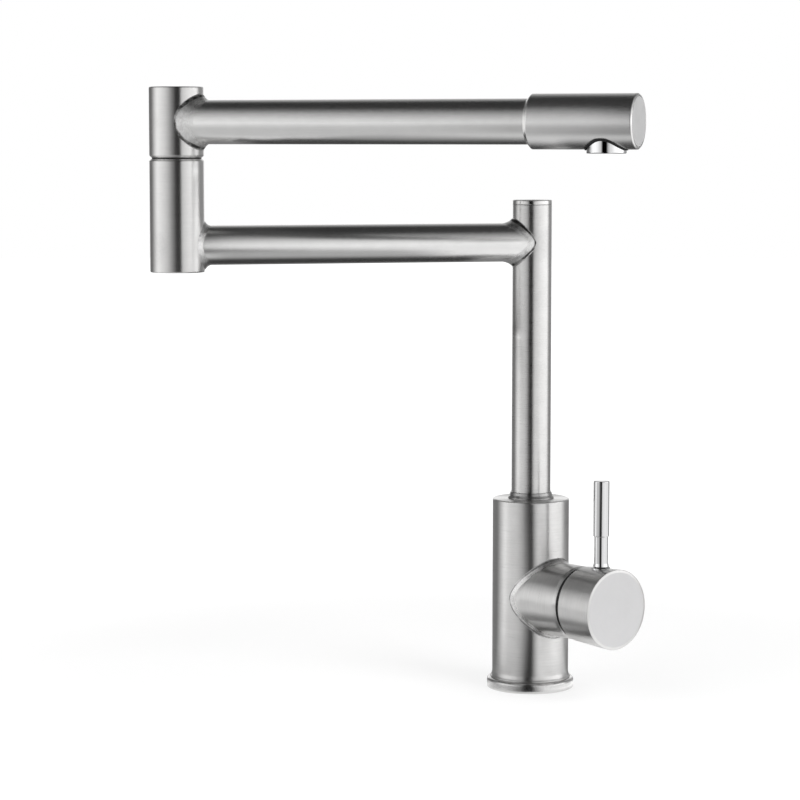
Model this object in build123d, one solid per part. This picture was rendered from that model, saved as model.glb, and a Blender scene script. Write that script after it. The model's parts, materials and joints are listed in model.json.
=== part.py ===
from build123d import *
import os

os.makedirs("parts", exist_ok=True)

# Folding swing-arm sink mixer. Millimetres, +Z up, origin on the body's axis at the deck.
# The valve and both arms are drawn along +X in their own frames and then turned to their headings.

# Body and base
body_diameter = 49.0
body_height = 122.7
flange_diameter = 55.8
flange_height = 6.5
shank_thread_diameter = 33.0
shank_thread_depth = 14.0
inlet_thread_diameter = 10.0
inlet_thread_depth = 12.0

# Riser and lower arm
riser_diameter = 25.0
riser_crown = 27.0
tube_wall = 1.5
lower_arm_height = 287.0
lower_arm_reach = 228.0
lower_arm_heading = 193.5

# Elbow
knuckle_diameter = 33.7
knuckle_foot = 16.3
elbow_rise = 53.4
washer_thickness = 0.8
seam_bevel = 1.3
upper_knuckle_height = 43.2
spindle_diameter = 18.0

# Upper arm and spout head
upper_arm_diameter = 26.9
upper_arm_reach = 293.8
upper_arm_heading = -20.4
head_diameter = 32.5
head_length = 66.3
aerator_diameter = 23.6
aerator_setback = 19.4
aerator_drop = 2.3

# Valve and handle
valve_height = 60.3
valve_heading = -50.0
neck_reach = 47.6
handle_gap = 2.5
cap_length = 28.9
cap_flare = 1.5
cartridge_diameter = 35.0
lever_setback = 14.2
lever_top = 140.2
lever_split = 105.1
lever_rod_diameter = 8.6
lever_sleeve_diameter = 9.9

# Clearances
running_fit = 0.05
turning_gap = 0.3
weld_radius = 3.0
lower_arm_weld_radius = 3.6

center_low = (Align.CENTER, Align.CENTER, Align.MIN)


def upright(radius, low, high):
    return Pos(0, 0, low) * Cylinder(radius, high - low, align=center_low)


def lying(radius, near, far):
    return Pos(near, 0, 0) * Rot(0, 90, 0) * Cylinder(radius, far - near, align=center_low)


def crosswise(radius, left, right):
    return Pos(0, left, 0) * Rot(-90, 0, 0) * Cylinder(radius, right - left, align=center_low)


def upright_ring(outer, inner, low, high):
    return upright(outer, low, high) - upright(inner, low - 1, high + 1)


def lying_ring(outer, inner, near, far):
    return lying(outer, near, far) - lying(inner, near - 1, far + 1)


def turned(points):
    outline = make_face(Polyline(*[(radius, 0, height) for radius, height in points], close=True))
    return revolve(outline, Axis.Z)


def seal_ring(centre_radius, cord_radius, height):
    return Pos(0, 0, height) * Torus(centre_radius, cord_radius)


def curved_seams(shape):
    return [edge for edge in shape.edges() if edge.geom_type not in (GeomType.LINE, GeomType.CIRCLE)]


def circle_edges(shape, radius, axis, place):
    found = []
    for edge in shape.edges():
        if edge.geom_type != GeomType.CIRCLE or abs(edge.radius - radius) > 0.01:
            continue
        spot = edge.arc_center
        reach = spot.Z if axis == "z" else spot.X
        if abs(reach - place) < 0.01:
            found.append(edge)
    return found


nodes = {}


def add(name, shape):
    nodes[name] = shape


# Base flange, its seal and the body
body_radius = body_diameter / 2
flange_radius = flange_diameter / 2
spigot_radius = body_radius - 1.7
flange_body = upright_ring(flange_radius, spigot_radius, 0, flange_height)
flange_body = fillet(circle_edges(flange_body, flange_radius, "z", flange_height), 1.8)
flange_body = fillet(circle_edges(flange_body, flange_radius, "z", 0), 0.5)
seal_inner = spigot_radius + 0.8
seal_outer = spigot_radius + 2.8
seal_depth = 1.8
seal_groove = upright_ring(seal_outer, seal_inner, -1, seal_depth)
add("base_flange", flange_body - seal_groove)
add("base_seal", upright_ring(seal_outer, seal_inner, 0, seal_depth))

neck_radius = body_radius - 1.1
foot_flare = 1.3
foot_rise = 4.0
body_column = turned([
    (0, 0),
    (spigot_radius, 0),
    (spigot_radius, flange_height),
    (body_radius + foot_flare - 0.5, flange_height),
    (body_radius + foot_flare, flange_height + 0.6),
    (body_radius + foot_flare * 0.35, flange_height + foot_rise * 0.45),
    (body_radius, flange_height + foot_rise),
    (body_radius, body_height),
    (0, body_height),
])
body_column = fillet(circle_edges(body_column, body_radius, "z", body_height), 0.9)
neck_bevel_length = 2.2
neck_bevel_depth = 0.7
neck_end_radius = neck_radius - neck_bevel_depth
neck_bevel_start = neck_reach - neck_bevel_length
neck_bevel = Cone(neck_radius, neck_end_radius, neck_bevel_length, align=center_low)
neck_solid = lying(neck_radius, 0, neck_bevel_start)
neck_solid = neck_solid + Pos(neck_bevel_start, 0, 0) * Rot(0, 90, 0) * neck_bevel
neck_solid = Pos(0, 0, valve_height) * neck_solid
body_solid = body_column + neck_solid
body_solid = fillet(curved_seams(body_solid), weld_radius)

# Cartridge space, along the valve's own axis
seat_depth = 12.0
cartridge_radius = cartridge_diameter / 2
bore_radius = cartridge_radius + 0.1
nut_radius = cartridge_radius + 2.5
nut_start = neck_reach - 11.6
nut_end = neck_reach - 2.1
shell_end = neck_reach - 5.6
pivot_setback = 13.6
pivot_depth = neck_reach - pivot_setback
valve_cut = lying(bore_radius, seat_depth, nut_start)
valve_cut = valve_cut + lying(nut_radius, nut_start, neck_reach + 5)
port_radius = 3.0
port_spread = 8.0
inlet_level = -4.0
outlet_level = 8.0
hose_room = 20.0
inlet_ceiling = shank_thread_depth + hose_room
socket_floor = valve_height + bore_radius + 5.4
inlet_radius = inlet_thread_diameter / 2
for side in (-port_spread, port_spread):
    valve_cut = valve_cut + Pos(0, side, inlet_level) * lying(port_radius, 0, seat_depth + 1)
valve_cut = valve_cut + Pos(0, 0, outlet_level) * lying(port_radius + 1, 0, seat_depth + 1)
water_cut = Pos(0, 0, valve_height) * valve_cut
for side in (-port_spread, port_spread):
    inlet_top = inlet_ceiling + inlet_thread_depth
    water_cut = water_cut + Pos(0, side, 0) * upright(inlet_radius, inlet_ceiling - 1, inlet_top)
    channel_top = valve_height + inlet_level + port_radius
    water_cut = water_cut + Pos(0, side, 0) * upright(port_radius, inlet_ceiling, channel_top)
outlet_low = valve_height + outlet_level - port_radius
water_cut = water_cut + upright(port_radius + 2, outlet_low, socket_floor + 1)
bay_radius = body_radius - 6.5
shank_radius = shank_thread_diameter / 2
water_cut = water_cut + upright(shank_radius, -1, shank_thread_depth)
water_cut = water_cut + upright(bay_radius, shank_thread_depth, inlet_ceiling)

# Riser socket from the top
riser_radius = riser_diameter / 2
socket_radius = riser_radius + running_fit
bush_radius = riser_radius + 1.5
bush_depth = 11.5
water_cut = water_cut + upright(socket_radius, socket_floor, body_height + 1)
water_cut = water_cut + upright(bush_radius, body_height - bush_depth, body_height + 1)
lock_screw_rise = 14.0
lock_screw_level = socket_floor + lock_screw_rise
lock_screw_radius = 2.5
lock_hole = Pos(0, 0, lock_screw_level) * crosswise(lock_screw_radius, 5, body_radius + 5)
body_turned = Rot(0, 0, valve_heading) * (body_solid - water_cut)
add("mixer_body", body_turned - lock_hole)

# Collar and bush in one, at the riser's foot
collar_rise = 4.3
collar_foot = riser_radius + 2.25
collar_top = riser_radius + 0.6
collar = turned([
    (socket_radius, body_height - bush_depth),
    (bush_radius, body_height - bush_depth),
    (bush_radius, body_height),
    (collar_foot, body_height),
    (collar_foot, body_height + 0.7),
    (collar_top + 0.5, body_height + 0.55 * collar_rise),
    (collar_top, body_height + collar_rise),
    (socket_radius, body_height + collar_rise),
])
add("riser_collar", collar)

# Riser spigot with its two seals and the groove for the lock screw
tube_bore = riser_radius - tube_wall
spigot_low = socket_floor + 1.0
spigot_length = 19.0
spigot_shoulder = socket_floor + spigot_length
spigot_tail = 14.0
groove_half = 2.5
seal_cord = 1.3
spigot = upright(riser_radius, spigot_low, spigot_shoulder)
spigot = spigot + upright(tube_bore, spigot_shoulder, spigot_shoulder + spigot_tail)
groove_low = lock_screw_level - groove_half
groove_high = lock_screw_level + groove_half
spigot = spigot - upright_ring(riser_radius + 1, riser_radius - 1.9, groove_low, groove_high)
seal_levels = [spigot_low + 3.0, spigot_low + 7.5]
for level in seal_levels:
    groove_floor = riser_radius - 2 * seal_cord
    groove = upright_ring(riser_radius + 1, groove_floor, level - seal_cord, level + seal_cord)
    spigot = spigot - groove
add("riser_spigot", spigot - upright(tube_bore - 3, spigot_low - 1, spigot_shoulder + spigot_tail + 1))
riser_seals = []
for level in seal_levels:
    riser_seals.append(seal_ring(riser_radius - seal_cord, seal_cord - 0.01, level))
add("riser_o_rings", Compound(riser_seals))

screw_tip = riser_radius - 1.4
screw_body = crosswise(lock_screw_radius, riser_radius + 0.6, body_radius - 1.2)
screw_body = screw_body + crosswise(lock_screw_radius - 0.6, screw_tip, riser_radius + 1)
screw_body = screw_body - Pos(0, body_radius - 3.4, 0) * Rot(-90, 0, 0) * extrude(RegularPolygon(1.4, 6), 5)
add("riser_lock_screw", Pos(0, 0, lock_screw_level) * screw_body)

# Riser tube and its cap, with the hole that feeds the lower arm
riser_top = lower_arm_height + riser_crown
cap_seam = riser_top - 3.0
lower_arm_radius = riser_radius - 0.3
lower_bore = lower_arm_radius - tube_wall
feed_radius = lower_bore - 1.3
riser_tube = upright_ring(riser_radius, tube_bore, spigot_shoulder, cap_seam)
riser_tube = riser_tube - Pos(0, 0, lower_arm_height) * lying(feed_radius, 0, riser_radius + 5)
riser_cap = upright(riser_radius, cap_seam, riser_top)
riser_cap = fillet(circle_edges(riser_cap, riser_radius, "z", riser_top), 0.7)
riser_cap = chamfer(circle_edges(riser_cap, riser_radius, "z", cap_seam), 0.2)
riser_cap = riser_cap + upright(tube_bore, cap_seam - 6, cap_seam)

# Lower arm, welded between riser and lower knuckle
knuckle_radius = knuckle_diameter / 2
knuckle_place = Pos(lower_arm_reach, 0, 0)
post_reach = 2.5 * knuckle_diameter
lower_knuckle_low = lower_arm_height - knuckle_foot
arm_line = Pos(0, 0, lower_arm_height)
riser_post = upright(riser_radius, lower_arm_height - post_reach, lower_arm_height + post_reach)
post_low = lower_arm_height - post_reach
post_high = lower_arm_height + post_reach
knuckle_post = knuckle_place * upright(knuckle_radius, post_low, post_high)
lower_arm = arm_line * lying(lower_arm_radius, 0, lower_arm_reach)
lower_arm = fillet(curved_seams(riser_post + lower_arm + knuckle_post), lower_arm_weld_radius)
lower_arm = lower_arm - riser_post - knuckle_post
lower_arm = lower_arm & (Pos(0, 0, (lower_knuckle_low + riser_top) / 2)
                         * Box(3 * lower_arm_reach, 2 * post_reach, riser_top - lower_knuckle_low))
lower_arm = lower_arm - arm_line * lying(lower_bore, 0, lower_arm_reach)

# Lower knuckle with its cap and the two bushes of the elbow
cavity_radius = knuckle_radius - 3.35
cap_thickness = 4.0
spindle_radius = spindle_diameter / 2
elbow_bore = spindle_radius + 2.0
elbow_seam_height = lower_arm_height + elbow_rise
elbow_shelf = lower_arm_height + lower_arm_radius + 2.8
seal_room = 13.5
bush_length = (elbow_seam_height - elbow_shelf - seal_room) / 2
lower_knuckle = upright(knuckle_radius, lower_knuckle_low, elbow_seam_height)
lower_knuckle = chamfer(circle_edges(lower_knuckle, knuckle_radius, "z", elbow_seam_height), seam_bevel)
lower_knuckle = chamfer(circle_edges(lower_knuckle, knuckle_radius, "z", lower_knuckle_low), 0.5)
lower_knuckle = lower_knuckle - upright(cavity_radius, lower_knuckle_low - 1, elbow_shelf)
lower_knuckle = lower_knuckle - upright(elbow_bore, elbow_shelf - 1, elbow_seam_height + 1)
lower_knuckle = knuckle_place * lower_knuckle
feed_start = lower_arm_reach - knuckle_radius - 3
lower_knuckle = lower_knuckle - arm_line * lying(feed_radius, feed_start, lower_arm_reach)
lower_cap = upright(cavity_radius, lower_knuckle_low, lower_knuckle_low + cap_thickness)
lower_cap = chamfer(circle_edges(lower_cap, cavity_radius, "z", lower_knuckle_low), 0.3)
bush_bore = spindle_radius + running_fit
upper_bush = upright_ring(elbow_bore, bush_bore, elbow_seam_height - bush_length, elbow_seam_height)
lower_bush = upright_ring(elbow_bore, bush_bore, elbow_shelf, elbow_shelf + bush_length)

lower_turn = Rot(0, 0, lower_arm_heading)
add("riser_tube", lower_turn * riser_tube)
add("riser_top_cap", lower_turn * riser_cap)
add("lower_arm_tube", lower_turn * lower_arm)
add("lower_knuckle", lower_turn * lower_knuckle)
add("lower_knuckle_cap", lower_turn * knuckle_place * lower_cap)
elbow_bushes = [lower_turn * knuckle_place * upper_bush, lower_turn * knuckle_place * lower_bush]
add("elbow_bushes", Compound(elbow_bushes))

# Upper knuckle, hollow spindle, seals, washer and lock nut, on the elbow's axis
upper_low = elbow_seam_height + washer_thickness
upper_high = upper_low + upper_knuckle_height
upper_arm_height = (upper_low + upper_high) / 2
floor_thickness = 8.0
upper_floor = upper_low + floor_thickness
upper_knuckle = upright(knuckle_radius, upper_low, upper_high)
upper_knuckle = chamfer(circle_edges(upper_knuckle, knuckle_radius, "z", upper_low), seam_bevel)
upper_knuckle = chamfer(circle_edges(upper_knuckle, knuckle_radius, "z", upper_high), 0.5)
upper_knuckle = upper_knuckle - upright(spindle_radius, upper_low - 1, upper_floor + 1)
upper_knuckle = upper_knuckle - upright(cavity_radius, upper_floor, upper_high + 1)
upper_cap = upright(cavity_radius, upper_high - cap_thickness, upper_high)
upper_cap = chamfer(circle_edges(upper_cap, cavity_radius, "z", upper_high), 0.3)
spindle_low = elbow_shelf - 8.0
spindle = upright_ring(spindle_radius, spindle_radius - 2.5, spindle_low, upper_floor)
elbow_cord = 0.95
elbow_seals = []
for level in (elbow_shelf + bush_length + 4.0, elbow_seam_height - bush_length - 4.0):
    elbow_seals.append(seal_ring(spindle_radius + 1.0, elbow_cord, level))
washer = upright_ring(knuckle_radius - seam_bevel - 0.3, spindle_radius, elbow_seam_height, upper_low)
nut_high = elbow_shelf - 0.5
elbow_nut = Pos(0, 0, nut_high - 5.5) * extrude(RegularPolygon(cavity_radius - 0.9, 6), 5.5)
elbow_nut = elbow_nut - upright(spindle_radius, nut_high - 6, nut_high + 1)

# Upper arm, welded to the upper knuckle and let into the spout head
upper_arm_radius = upper_arm_diameter / 2
upper_bore = upper_arm_radius - tube_wall
upper_line = Pos(0, 0, upper_arm_height)
head_start = upper_arm_reach - head_length
arm_insert = 15.0
arm_end = head_start + arm_insert
upper_post = upright(knuckle_radius, upper_low - post_reach, upper_high + post_reach)
upper_arm = upper_line * lying(upper_arm_radius, 0, arm_end)
upper_arm = fillet(curved_seams(upper_post + upper_arm), weld_radius)
upper_arm = upper_arm - upper_post - upper_line * lying(upper_bore, 0, arm_end + 5)
upper_feed = upper_bore - 1.5
upper_knuckle = upper_knuckle - upper_line * lying(upper_feed, 0, knuckle_radius + 5)

# Spout head, closed by a disc, with the aerator let into its underside
head_radius = head_diameter / 2
lid_radius = head_radius - 1.6
lid_start = upper_arm_reach - 4.0
channel_radius = 7.0
head = lying(head_radius, head_start, upper_arm_reach)
head = chamfer(circle_edges(head, head_radius, "x", upper_arm_reach), 0.8)
head = chamfer(circle_edges(head, head_radius, "x", head_start), head_radius - upper_arm_radius - 0.4)
head = head - lying(upper_arm_radius, head_start - 1, arm_end)
head = head - lying(upper_bore, arm_end - 1, arm_end + 8)
head = head - lying(channel_radius, arm_end, upper_arm_reach - aerator_setback + 9)
head = head - lying(lid_radius, lid_start, upper_arm_reach + 1)
aerator_place = Pos(upper_arm_reach - aerator_setback, 0, 0)
aerator_radius = aerator_diameter / 2
thread_radius = aerator_radius - 0.8
recess_gap = 1.1
recess_radius = aerator_radius + recess_gap
recess_top = 0.2 - (head_radius ** 2 - recess_radius ** 2) ** 0.5
aerator_seat = recess_top + 4.5
head = head - aerator_place * upright(recess_radius, -head_radius - 5, recess_top)
head = head - aerator_place * upright(thread_radius, recess_top - 1, aerator_seat)
head = head - aerator_place * upright(thread_radius - 2.4, aerator_seat - 1, 0)
lid = lying(lid_radius, lid_start, upper_arm_reach)
lid = chamfer(circle_edges(lid, lid_radius, "x", upper_arm_reach), 0.25)

aerator_low = -head_radius - aerator_drop
aerator_bore = aerator_radius - 2.2
shell_lip = upright(aerator_radius, aerator_low, recess_top - 0.2)
shell_lip = fillet(circle_edges(shell_lip, aerator_radius, "z", aerator_low), 0.7)
gasket_low = aerator_seat - 0.9
aerator_shell = shell_lip + upright(thread_radius, recess_top - 0.2, gasket_low)
aerator_shell = aerator_shell - upright(aerator_bore, aerator_low - 1, gasket_low + 1)
insert = upright(aerator_bore, aerator_low + 1.0, gasket_low)
jet_hole = upright(0.75, aerator_low, gasket_low + 1)
insert = insert - jet_hole
for ring_radius, ring_count in ((2.5, 6), (5.0, 12), (7.5, 18)):
    for turn in range(ring_count):
        insert = insert - Rot(0, 0, turn * 360 / ring_count) * Pos(ring_radius, 0, 0) * jet_hole
gasket = upright_ring(thread_radius, thread_radius - 2.4, gasket_low, aerator_seat)

upper_turn = lower_turn * knuckle_place * Rot(0, 0, upper_arm_heading - lower_arm_heading)
along_arm = upper_turn * upper_line
add("upper_knuckle", upper_turn * upper_knuckle)
add("upper_knuckle_cap", upper_turn * upper_cap)
add("elbow_spindle", upper_turn * spindle)
add("elbow_o_rings", Compound([upper_turn * ring for ring in elbow_seals]))
add("elbow_washer", upper_turn * washer)
add("elbow_lock_nut", upper_turn * elbow_nut)
add("upper_arm_tube", upper_turn * upper_arm)
add("spout_head", along_arm * head)
add("head_end_disc", along_arm * lid)
add("aerator_shell", along_arm * aerator_place * aerator_shell)
add("aerator_insert", along_arm * aerator_place * insert)
add("aerator_gasket", along_arm * aerator_place * gasket)

# Cartridge, along the valve axis
base_end = seat_depth + 5.0
disc_end = base_end + 3.0
seal_seat = seat_depth + 1.2
cartridge_base = lying(cartridge_radius, seat_depth, base_end)
fixed_disc = lying(cartridge_radius - 3.5, base_end, disc_end)
port_seals = []
for side, level, radius in (
    (-port_spread, inlet_level, port_radius),
    (port_spread, inlet_level, port_radius),
    (0, outlet_level, port_radius + 1),
):
    spot = Pos(0, side, level)
    cartridge_base = cartridge_base - spot * lying(radius + 1.2, seat_depth - 1, seal_seat)
    cartridge_base = cartridge_base - spot * lying(radius, seat_depth - 1, base_end + 1)
    fixed_disc = fixed_disc - spot * lying(radius, base_end - 1, disc_end + 1)
    port_seals.append(spot * lying_ring(radius + 1.2, radius, seat_depth, seal_seat))
shell_bore = cartridge_radius - 2.2
guide_radius = shell_bore - turning_gap
shell_lip_start = shell_end - 2.5
guide_neck = cartridge_radius - 5.3
cartridge_shell = lying_ring(cartridge_radius, shell_bore, base_end, shell_lip_start)
shell_mouth = guide_neck + turning_gap
cartridge_shell = cartridge_shell + lying_ring(cartridge_radius, shell_mouth, shell_lip_start, shell_end)
cartridge_nut = lying_ring(nut_radius, bore_radius, nut_start, shell_end)
nut_eye = guide_neck + 1.8
nut_front = lying_ring(nut_radius, nut_eye, shell_end, nut_end)
for turn in range(6):
    nut_front = nut_front - Rot(turn * 60, 0, 0) * Pos(nut_end, 0, nut_eye) * Box(3, 4, 5)
cartridge_nut = cartridge_nut + nut_front

# Stem guide that turns in the cartridge, with the pin that the stem tilts on
stem_width = 8.0
stem_height = 7.0
slot_gap = 0.3
guide_start = pivot_depth - 6.0
guide_end = shell_end + 1.0
stem_guide = lying(guide_radius, guide_start, shell_lip_start - slot_gap)
stem_guide = stem_guide + lying(guide_neck, guide_start, guide_end)
slot_half = stem_height / 2 + 0.6
slot_front = guide_end - pivot_depth + 1.0
slot_rear = -7.0
slot_face = make_face(Polyline(
    (slot_rear, 0, -slot_half),
    (0, 0, -slot_half - 0.3),
    (slot_front, 0, -slot_half - 0.4 * slot_front),
    (slot_front, 0, slot_half),
    (0, 0, slot_half + 0.3),
    (slot_rear, 0, slot_half - 0.4 * slot_rear),
    close=True,
))
slot = extrude(slot_face, stem_width / 2 + slot_gap, both=True, dir=(0, 1, 0))
pin_radius = 1.5
pin_half = guide_radius - 1.0
pin_hole = Pos(pivot_depth, 0, 0) * crosswise(pin_radius, -pin_half, pin_half)
add_guide = stem_guide - Pos(pivot_depth, 0, 0) * slot - pin_hole

# Stem with its ball tail, and the carrier and moving disc that the tail pushes
tail_arm = 7.7
ball_radius = 3.0
carrier_end = guide_start - 0.4
moving_start = disc_end + 0.02
carrier_start = moving_start + 2.5
slide_rest = -1.3
carrier_radius = cartridge_radius - 6.5
moving_disc = lying(carrier_radius - 0.5, moving_start, carrier_start)
carrier = lying(carrier_radius, carrier_start, carrier_end)
slide_place = Pos(0, 0, slide_rest)
ball_socket = lying(ball_radius + 0.35, carrier_start + 0.5, carrier_end + 1)
carrier = slide_place * carrier - ball_socket
moving_disc = slide_place * moving_disc - Pos(0, 0, -2.0) * lying(3.0, moving_start - 1, moving_start + 1.2)

neck_front = neck_reach + handle_gap
cap_face = neck_front + cap_length
stem_setback = 13.0
stem_end = cap_face - stem_setback
boss_start = neck_front + 5.9
stem_start = pivot_depth - 4.0
stem = Pos((stem_start + stem_end) / 2, 0, 0) * Box(stem_end - stem_start, stem_width, stem_height)
stem = stem + lying(2.0, pivot_depth - tail_arm, pivot_depth - 3)
stem = stem + Pos(pivot_depth - tail_arm, 0, 0) * Sphere(ball_radius)
stem = stem - Pos(pivot_depth, 0, 0) * crosswise(pin_radius + running_fit, -10, 10)

# Dark ring in the seam, kept inside a ball about the tilt pivot so that the cap swings past it
cap_rim_radius = neck_radius + 0.4
cap_hollow = cap_rim_radius - 1.4
rim_swing = ((neck_front - pivot_depth) ** 2 + cap_hollow ** 2) ** 0.5
swing_ball = rim_swing - 0.6
ring_eye = nut_eye - 0.1
ring_front = neck_front - turning_gap
shoulder_radius = neck_end_radius - 0.1
front_radius = (swing_ball ** 2 - (ring_front - pivot_depth) ** 2) ** 0.5
ring_nose = Cone(shoulder_radius, front_radius, ring_front - neck_reach, align=center_low)
seam_ring = lying(nut_radius, nut_end, neck_reach) + Pos(neck_reach, 0, 0) * Rot(0, 90, 0) * ring_nose
seam_ring = seam_ring - lying(ring_eye, nut_end - 1, ring_front + 1)

# Handle cap with its boss, lever and screws
cap_face_radius = cap_rim_radius + cap_flare
face_bevel_width = 1.8
face_bevel_depth = 0.45
flare_length = cap_length - face_bevel_depth
flare_cone = Cone(cap_rim_radius, cap_face_radius, flare_length, align=center_low)
face_bevel = Cone(cap_face_radius, cap_face_radius - face_bevel_width, face_bevel_depth, align=center_low)
cap_outer = flare_cone + Pos(0, 0, flare_length) * face_bevel
cap_outer = Pos(neck_front, 0, 0) * Rot(0, 90, 0) * cap_outer
cap_outer = chamfer(circle_edges(cap_outer, cap_rim_radius, "x", neck_front), 0.9)
cap_back = cap_face - 4.0
boss_radius = 8.0
handle_cap = cap_outer - lying(cap_hollow, neck_front - 1, cap_back)
mouth = Pos(neck_front, 0, 0) * Rot(0, 90, 0) * Cone(cap_hollow + 0.3, cap_hollow, 0.3, align=center_low)
handle_cap = handle_cap - mouth
handle_cap = handle_cap + lying(boss_radius, boss_start, cap_back + 1)
socket = Pos((boss_start - 1 + stem_end) / 2, 0, 0) * Box(stem_end - boss_start + 1, stem_width, stem_height)
handle_cap = handle_cap - socket
lever_spot = cap_face - lever_setback
lever_place = Pos(lever_spot, 0, 0)
stud_radius = 3.0
spot_face = cap_rim_radius - 0.2
root_radius = lever_rod_diameter / 2 + 1.5
handle_cap = handle_cap - lever_place * upright(stud_radius, stem_height / 2, cap_face_radius + 5)
handle_cap = handle_cap - lever_place * upright(root_radius + 0.2, spot_face, cap_face_radius + 5)
screw_spot = lever_spot - 4.0
screw_place = Pos(screw_spot, 0, 0)
screw_radius = 2.5
plug_radius = 3.2
handle_cap = handle_cap - screw_place * upright(screw_radius, -boss_radius - 1, -stem_height / 2)
handle_cap = handle_cap - screw_place * upright(plug_radius, -cap_face_radius - 5, -cap_hollow + 1)
set_screw = upright(screw_radius, -boss_radius + 0.4, -stem_height / 2)
set_screw = set_screw - Pos(0, 0, -boss_radius) * extrude(RegularPolygon(1.4, 6), 2.4)
plug = screw_place * upright(plug_radius, -cap_face_radius - 5, -cap_hollow - 0.2)
plug = plug & cap_outer

root_rise = 4.2
rod_radius = lever_rod_diameter / 2
sleeve_radius = lever_sleeve_diameter / 2
lever_root = turned([
    (rod_radius, spot_face),
    (root_radius, spot_face),
    (root_radius, spot_face + 1.4),
    (rod_radius + 0.55, spot_face + 0.55 * root_rise),
    (rod_radius + 0.2, spot_face + root_rise),
    (rod_radius, spot_face + root_rise),
])
rod_low = spot_face
rod_high = lever_split - valve_height
sleeve_high = lever_top - valve_height
lever_rod = upright(rod_radius, rod_low, rod_high)
lever_rod = lever_rod + upright(stud_radius, stem_height / 2, rod_low)
lever_rod = lever_rod + upright(stud_radius, rod_high, sleeve_high - 10)
lever_sleeve = upright(sleeve_radius, rod_high, sleeve_high)
lever_sleeve = fillet(circle_edges(lever_sleeve, sleeve_radius, "z", sleeve_high), 0.6)
lever_sleeve = chamfer(circle_edges(lever_sleeve, sleeve_radius, "z", rod_high), 0.35)
lever_sleeve = lever_sleeve - upright(stud_radius, rod_high - 1, sleeve_high - 10)

valve_turn = Rot(0, 0, valve_heading) * Pos(0, 0, valve_height)
add("cartridge_base", valve_turn * cartridge_base)
add("port_seals", Compound([valve_turn * ring for ring in port_seals]))
add("fixed_disc", valve_turn * fixed_disc)
add("cartridge_shell", valve_turn * cartridge_shell)
add("cartridge_nut", valve_turn * cartridge_nut)
add("seam_ring", valve_turn * seam_ring)
add("stem_guide", valve_turn * add_guide)
add("pivot_pin", valve_turn * pin_hole)
add("disc_carrier", valve_turn * carrier)
add("moving_disc", valve_turn * moving_disc)
add("stem", valve_turn * stem)
add("handle_cap", valve_turn * handle_cap)
add("handle_set_screw", valve_turn * screw_place * set_screw)
add("screw_plug", valve_turn * plug)
add("lever_root", valve_turn * lever_place * lever_root)
add("lever_rod", valve_turn * lever_place * lever_rod)
add("lever_sleeve", valve_turn * lever_place * lever_sleeve)

for name, shape in nodes.items():
    export_step(shape, os.path.join("parts", name + ".step"))
    box = shape.bounding_box()
    print(name, len(shape.solids()), round(shape.volume, 1), round(box.min.Z, 2), round(box.max.Z, 2))
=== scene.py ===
# %% [markdown]
# # Folding sink mixer in brushed steel
# The solids come from the CAD model and stay exactly where they are. This lesson gives them
# their finishes, a few small visual pieces, a studio and a camera. The first cell loads the solids.

# %% Load the solids
import json
import math
import bpy
import bmesh
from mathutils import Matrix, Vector


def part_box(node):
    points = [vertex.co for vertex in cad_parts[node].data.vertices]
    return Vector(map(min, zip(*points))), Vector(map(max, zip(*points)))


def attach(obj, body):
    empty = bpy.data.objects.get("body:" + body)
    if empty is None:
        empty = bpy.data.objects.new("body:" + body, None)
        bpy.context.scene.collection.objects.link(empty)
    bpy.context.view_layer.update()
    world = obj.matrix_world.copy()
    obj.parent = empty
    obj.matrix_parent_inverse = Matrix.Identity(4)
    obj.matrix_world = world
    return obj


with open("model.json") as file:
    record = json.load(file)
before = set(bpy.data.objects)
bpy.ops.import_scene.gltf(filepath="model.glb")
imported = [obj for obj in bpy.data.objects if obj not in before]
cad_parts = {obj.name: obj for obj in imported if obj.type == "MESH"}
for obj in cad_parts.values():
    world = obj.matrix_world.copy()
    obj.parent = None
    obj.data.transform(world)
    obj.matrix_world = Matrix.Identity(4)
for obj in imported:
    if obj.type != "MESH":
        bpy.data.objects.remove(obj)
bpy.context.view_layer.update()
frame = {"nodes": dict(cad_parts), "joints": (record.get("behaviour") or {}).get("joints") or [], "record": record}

nodes = frame["nodes"]

# %% [markdown]
# ## Where things are
# Every finish below follows the way its piece was made: a tube is brushed around its own axis.
# The axes and most radii are read from the joints and from the boxes of the pieces. Only the radii
# that no box shows are written down.

# %% Axes of the mixer
joint = {j["name"]: j for j in frame["joints"]}


def middle(node):
    low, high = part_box(node)
    return (low + high) / 2


up = Vector((0, 0, 1))
deck = Vector((0, 0, 0))
elbow = Vector(joint["elbow_swivel"]["pos_m"])
valve_axis = Vector(joint["handle_turn"]["axis"]).normalized()
valve_centre = Vector((0, 0, joint["handle_turn"]["pos_m"][2]))
head_end = middle("head_end_disc")
upper_arm_start = Vector((elbow.x, elbow.y, head_end.z))
upper_arm_axis = (head_end - upper_arm_start).normalized()
lower_arm_level = middle("lower_arm_tube").z
lower_arm_start = Vector((0, 0, lower_arm_level))
lower_arm_axis = (Vector((elbow.x, elbow.y, lower_arm_level)) - lower_arm_start).normalized()
lever_foot = middle("lever_rod")
aerator_centre = middle("aerator_shell")
print("elbow", tuple(elbow), "spout axis", tuple(upper_arm_axis))

# %% Radii of the tubes


def radius_of(node_name):
    low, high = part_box(node_name)
    return (high.x - low.x) / 2


arm_under_riser = 0.0003
riser_radius = radius_of("riser_tube")
knuckle_radius = radius_of("lower_knuckle")
lower_arm_radius = riser_radius - arm_under_riser
upper_arm_radius = 0.01345
body_radius = 0.0245
neck_radius = 0.0234
print("radii", riser_radius, knuckle_radius, lower_arm_radius, upper_arm_radius)

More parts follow.
